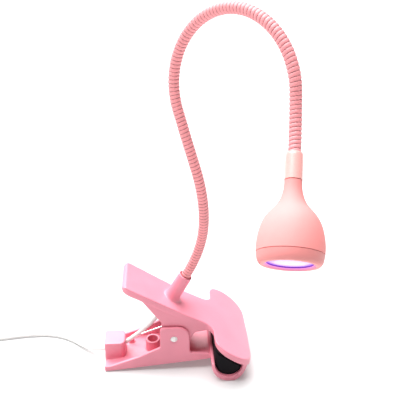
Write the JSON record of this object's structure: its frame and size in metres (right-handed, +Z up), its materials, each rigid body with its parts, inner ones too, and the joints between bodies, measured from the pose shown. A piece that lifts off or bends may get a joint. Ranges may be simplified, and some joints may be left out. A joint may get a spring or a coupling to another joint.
{
  "type": "uv led nail lamp",
  "caption": "Small clip-on gooseneck lamp: a sprung plastic clamp with padded jaws holds a flexible steel neck that carries a bell-shaped ultraviolet LED head, fed by a USB cord",
  "frame": {"origin": "middle of the lamp's footprint box, on the surface it stands on, without the cord", "axes": "+X along the clip from its tail to its jaws, +Y across the clip towards the back, +Z up"},
  "size_m": [0.2791, 0.1704, 0.271],
  "materials": {
    "clip_plastic": "satin",
    "pad_rubber": "matte",
    "pin_white": "satin",
    "spring_steel": "satin",
    "cord_white": "satin",
    "tie_white": "matte",
    "hose_paint": "satin",
    "wire_insulation": "satin",
    "plated_steel": "satin",
    "collar_paint": "satin",
    "head_plastic": "satin",
    "lens_clear": "gloss",
    "gasket_rubber": "matte",
    "reflector_bright": "polished",
    "board_aluminium": "satin",
    "chip_yellow": "gloss",
    "sink_aluminium": "satin",
    "board_green": "satin",
    "switch_plastic": "satin",
    "slider_plastic": "satin",
    "contact_brass": "satin",
    "plug_steel": "polished",
    "tongue_plastic": "satin"
  },
  "bodies": {
    "lower_clip": {"lower_lever": "clip_plastic", "hinge_pin": "pin_white", "clip_spring": "spring_steel", "lower_jaw_pad": "pad_rubber", "clip_cable": "cord_white", "cord_lead": "cord_white", "cord_coil": "cord_white", "cord_tie": "tie_white", "cord_to_switch": "cord_white", "switch_base": "switch_plastic", "switch_cover": "switch_plastic", "switch_contacts": "contact_brass", "cord_to_plug": "cord_white", "plug_grip": "switch_plastic", "plug_shell": "plug_steel", "plug_tongue": "tongue_plastic", "plug_contacts": "contact_brass"},
    "upper_clip": {"upper_lever": "clip_plastic", "upper_jaw_pad": "pad_rubber", "hose_fitting": "plated_steel", "hose_nut": "plated_steel", "neck_section_1": "hose_paint", "neck_wires_1": "wire_insulation"},
    "neck_2": {"neck_section_2": "hose_paint", "neck_wires_2": "wire_insulation"},
    "neck_3": {"neck_section_3": "hose_paint", "neck_wires_3": "wire_insulation"},
    "neck_4": {"neck_section_4": "hose_paint", "neck_wires_4": "wire_insulation"},
    "neck_5": {"neck_section_5": "hose_paint", "neck_wires_5": "wire_insulation"},
    "neck_6": {"neck_section_6": "hose_paint", "neck_wires_6": "wire_insulation"},
    "head": {"neck_section_7": "hose_paint", "neck_wires_7": "wire_insulation", "head_collar": "collar_paint", "head_shell": "head_plastic", "bezel_ring": "head_plastic", "lens": "lens_clear", "lens_gasket": "gasket_rubber", "reflector": "reflector_bright", "led_board": "board_aluminium", "led_chips": "chip_yellow", "heat_sink": "sink_aluminium", "board_screws": "plated_steel", "driver_board": "board_green", "head_wires": "wire_insulation"},
    "switch_slider": {"switch_slider": "slider_plastic"}
  },
  "joints": [
    {"name": "clip_hinge", "type": "hinge", "parent": "lower_clip", "child": "upper_clip", "pos_m": [-0.01265, 0.04676, 0.028], "axis": [0, -1, 0], "range_deg": [0, 26], "stiffness_Nm_per_rad": 0.5, "springref_deg": -40.11, "deforming": ["clip_spring", "clip_cable"]},
    {"name": "neck_bend_1", "type": "hinge", "parent": "upper_clip", "child": "neck_2", "pos_m": [0.00919, 0.03783, 0.11495], "axis": [-0.7269, -0.6711, -0.1455], "range_deg": [-15, 15]},
    {"name": "neck_bend_2", "type": "hinge", "parent": "neck_2", "child": "neck_3", "pos_m": [0.00366, 0.03311, 0.16439], "axis": [-0.0451, -0.9957, 0.0813], "range_deg": [-15, 15]},
    {"name": "neck_bend_3", "type": "hinge", "parent": "neck_3", "child": "neck_4", "pos_m": [-0.00683, 0.04052, 0.20115], "axis": [0.5992, 0.7966, -0.0795], "range_deg": [-15, 15]},
    {"name": "neck_bend_4", "type": "hinge", "parent": "neck_4", "child": "neck_5", "pos_m": [-0.00129, 0.04093, 0.24697], "axis": [-0.5348, 0.6668, 0.5189], "range_deg": [-15, 15]},
    {"name": "neck_bend_5", "type": "hinge", "parent": "neck_5", "child": "neck_6", "pos_m": [0.03327, 0.01088, 0.26665], "axis": [0.7148, 0.6911, -0.1072], "range_deg": [-15, 15]},
    {"name": "neck_bend_6", "type": "hinge", "parent": "neck_6", "child": "head", "pos_m": [0.05509, -0.01736, 0.23013], "axis": [0.2654, 0.949, -0.1702], "range_deg": [-15, 15]},
    {"name": "switch_slide", "type": "slide", "parent": "lower_clip", "child": "switch_slider", "axis": [0, 1, 0], "range_m": [0, 0.004]}
  ]
}
